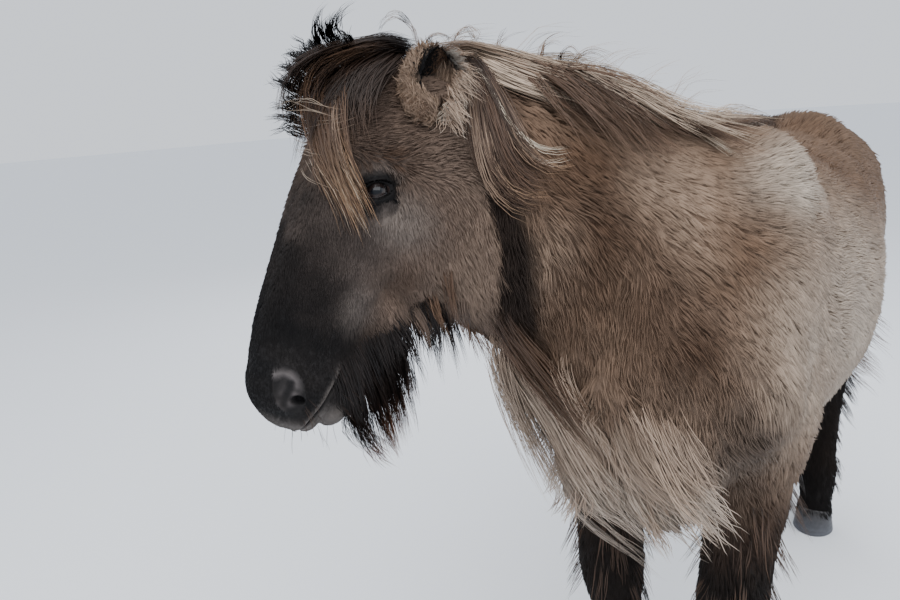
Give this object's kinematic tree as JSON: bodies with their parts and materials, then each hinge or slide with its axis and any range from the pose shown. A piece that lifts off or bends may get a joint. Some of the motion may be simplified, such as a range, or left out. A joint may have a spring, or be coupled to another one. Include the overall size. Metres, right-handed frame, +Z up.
{
  "type": "icelandic horse",
  "caption": "Still, life-size Icelandic horse in its long winter coat, standing with neck and head turned to its right.",
  "frame": {"origin": "middle of the bounding box at the floor, under the horse", "axes": "+Z up, +X towards the left side of the horse, nose towards -Y and tail towards +Y"},
  "size_m": [0.7982, 2.028, 1.603],
  "materials": {
    "body_coat": "dense taupe dun winter coat",
    "long_hair": "long dark tail hair with paler outer hair",
    "leg_coat": "dark brown shaggy hair",
    "hoof_horn": "dark grey ringed horn",
    "ear_coat": "short coat with a dark rim and pale inner hair",
    "eye": "wet dark brown"
  },
  "bodies": {
    "root": {"torso": "body_coat", "neck": "body_coat", "head": "body_coat", "tail": "long_hair", "leg_fore_left": "leg_coat", "hoof_fore_left": "hoof_horn", "leg_fore_right": "leg_coat", "hoof_fore_right": "hoof_horn", "leg_hind_left": "leg_coat", "hoof_hind_left": "hoof_horn", "leg_hind_right": "leg_coat", "hoof_hind_right": "hoof_horn", "ear_left": "ear_coat", "eye_left": "eye", "ear_right": "ear_coat", "eye_right": "eye"}
  },
  "joints": []
}
